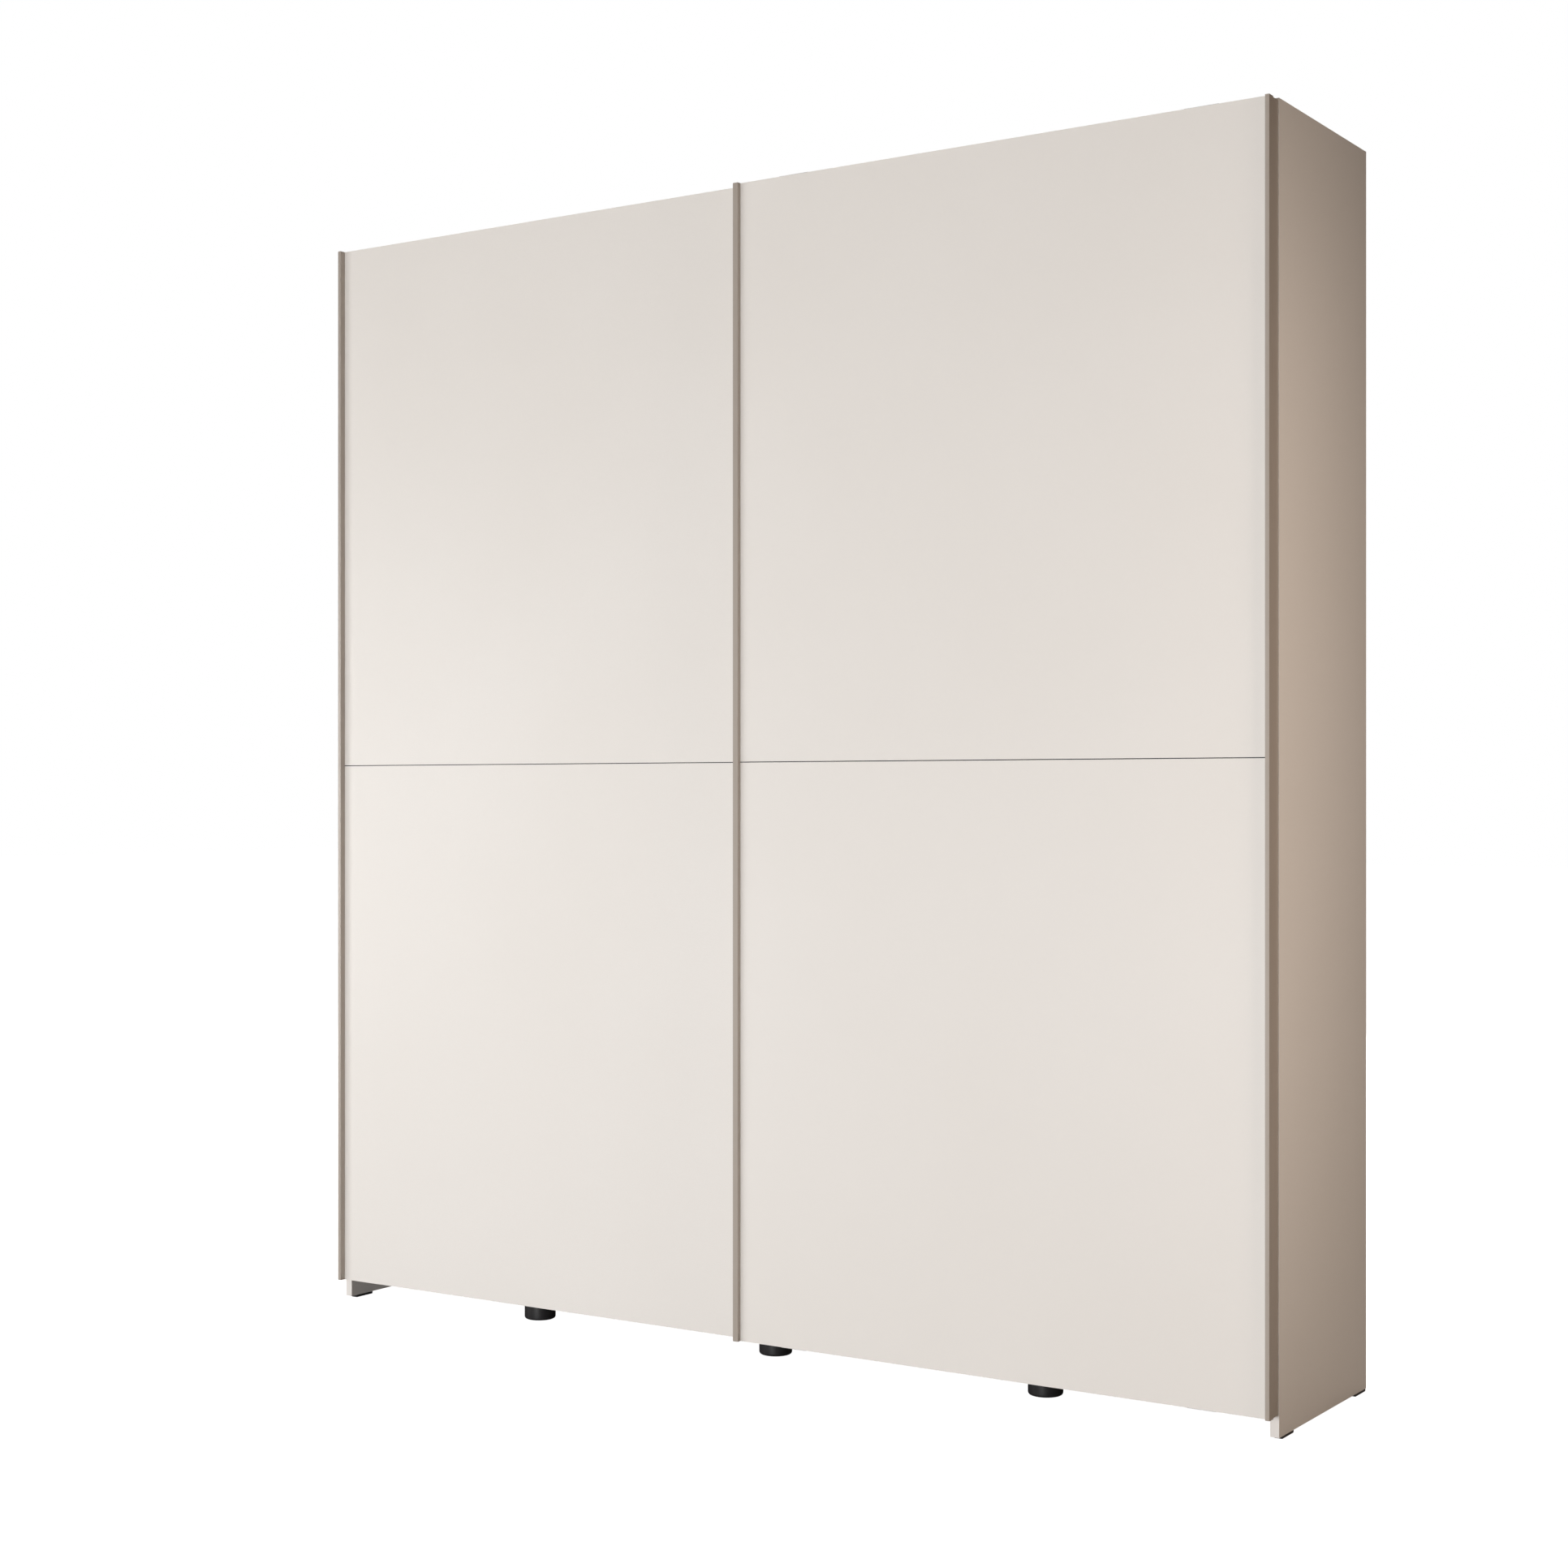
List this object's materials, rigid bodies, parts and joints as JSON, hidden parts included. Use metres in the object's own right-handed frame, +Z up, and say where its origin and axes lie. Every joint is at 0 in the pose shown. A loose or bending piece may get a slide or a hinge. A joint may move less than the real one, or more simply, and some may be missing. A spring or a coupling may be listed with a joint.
{
  "type": "sliding door wardrobe",
  "caption": "Tall wardrobe with cream sliding doors that hang in separate planes and pass one another, upright metal-look handle profiles, a shelved bay and a hanging bay.",
  "frame": {"origin": "on the floor, at the centre of the footprint", "axes": "+Z up, the doors face -Y, +X to the right as seen from the front"},
  "size_m": [1.99, 0.4282, 2.11],
  "materials": {
    "door_board": "fine-grained matt cream melamine board",
    "carcass_board": "matt cream melamine board",
    "back_board": "thin painted hardboard",
    "profile_champagne": "satin champagne anodised",
    "track_aluminium": "natural anodised extrusion",
    "steel": "bright zinc plated sheet",
    "chrome": "polished chrome",
    "black_plastic": "black moulded plastic, slightly satin",
    "nylon": "white moulded nylon",
    "grey_plastic": "grey moulded plastic"
  },
  "bodies": {
    "carcass": {"side_panel_left": "carcass_board", "side_panel_right": "carcass_board", "top_panel": "carcass_board", "base_panel": "carcass_board", "centre_partition": "carcass_board", "back_panel_left": "back_board", "back_panel_right": "back_board", "back_joint_strip": "grey_plastic", "foot_front_left": "black_plastic", "foot_front_middle": "black_plastic", "foot_front_right": "black_plastic", "foot_rear_left": "black_plastic", "foot_rear_middle": "black_plastic", "foot_rear_right": "black_plastic", "glide_left_front": "black_plastic", "glide_left_rear": "black_plastic", "glide_right_front": "black_plastic", "glide_right_rear": "black_plastic", "hat_shelf_left": "carcass_board", "hat_shelf_right": "carcass_board", "shelf_1": "carcass_board", "shelf_2": "carcass_board", "shelf_3": "carcass_board", "hanging_rod": "chrome", "rod_holder_front": "steel", "rod_holder_rear": "steel", "closing_strip": "profile_champagne", "top_track": "track_aluminium", "floor_guide": "track_aluminium", "track_stop_rear_door_left": "grey_plastic", "track_stop_rear_door_right": "grey_plastic", "track_stop_front_door_left": "grey_plastic", "track_stop_front_door_right": "grey_plastic"},
    "left_door": {"left_door_upper_board": "door_board", "left_door_lower_board": "door_board", "left_door_joint_tongue": "black_plastic", "left_door_handle_profile": "profile_champagne", "left_door_edge_cap": "profile_champagne", "left_door_hanger_left": "steel", "left_door_hanger_right": "steel", "left_door_guide_left_bracket": "steel", "left_door_guide_right_bracket": "steel", "left_door_guide_left_slider": "nylon", "left_door_guide_right_slider": "nylon"},
    "right_door": {"right_door_upper_board": "door_board", "right_door_lower_board": "door_board", "right_door_joint_tongue": "black_plastic", "right_door_centre_profile": "profile_champagne", "right_door_handle_profile": "profile_champagne", "right_door_hanger_left": "steel", "right_door_hanger_right": "steel", "right_door_guide_left_bracket": "steel", "right_door_guide_right_bracket": "steel", "right_door_guide_left_slider": "nylon", "right_door_guide_right_slider": "nylon"},
    "left_door_roller_left": {"left_door_roller_left": "nylon"},
    "left_door_roller_right": {"left_door_roller_right": "nylon"},
    "right_door_roller_left": {"right_door_roller_left": "nylon"},
    "right_door_roller_right": {"right_door_roller_right": "nylon"}
  },
  "joints": [
    {"name": "left_door_slide", "type": "slide", "parent": "carcass", "child": "left_door", "axis": [1, 0, 0], "range_m": [0, 0.96175]},
    {"name": "right_door_slide", "type": "slide", "parent": "carcass", "child": "right_door", "axis": [1, 0, 0], "range_m": [-0.96175, 0]},
    {"name": "left_door_roller_left_spin", "type": "hinge", "parent": "left_door", "child": "left_door_roller_left", "pos_m": [-0.875, -0.15485, 2.07045], "axis": [0, 1, 0], "continuous": true},
    {"name": "left_door_roller_right_spin", "type": "hinge", "parent": "left_door", "child": "left_door_roller_right", "pos_m": [-0.10075, -0.15485, 2.07045], "axis": [0, 1, 0], "continuous": true},
    {"name": "right_door_roller_left_spin", "type": "hinge", "parent": "right_door", "child": "right_door_roller_left", "pos_m": [0.10075, -0.12085, 2.07045], "axis": [0, 1, 0], "continuous": true},
    {"name": "right_door_roller_right_spin", "type": "hinge", "parent": "right_door", "child": "right_door_roller_right", "pos_m": [0.875, -0.12085, 2.07045], "axis": [0, 1, 0], "continuous": true}
  ],
  "couplings": [
    {"joint": "left_door_roller_left_spin", "follows": "left_door_slide", "rad_per_m": 90.909},
    {"joint": "left_door_roller_right_spin", "follows": "left_door_slide", "rad_per_m": 90.909},
    {"joint": "right_door_roller_left_spin", "follows": "right_door_slide", "rad_per_m": 90.909},
    {"joint": "right_door_roller_right_spin", "follows": "right_door_slide", "rad_per_m": 90.909}
  ]
}
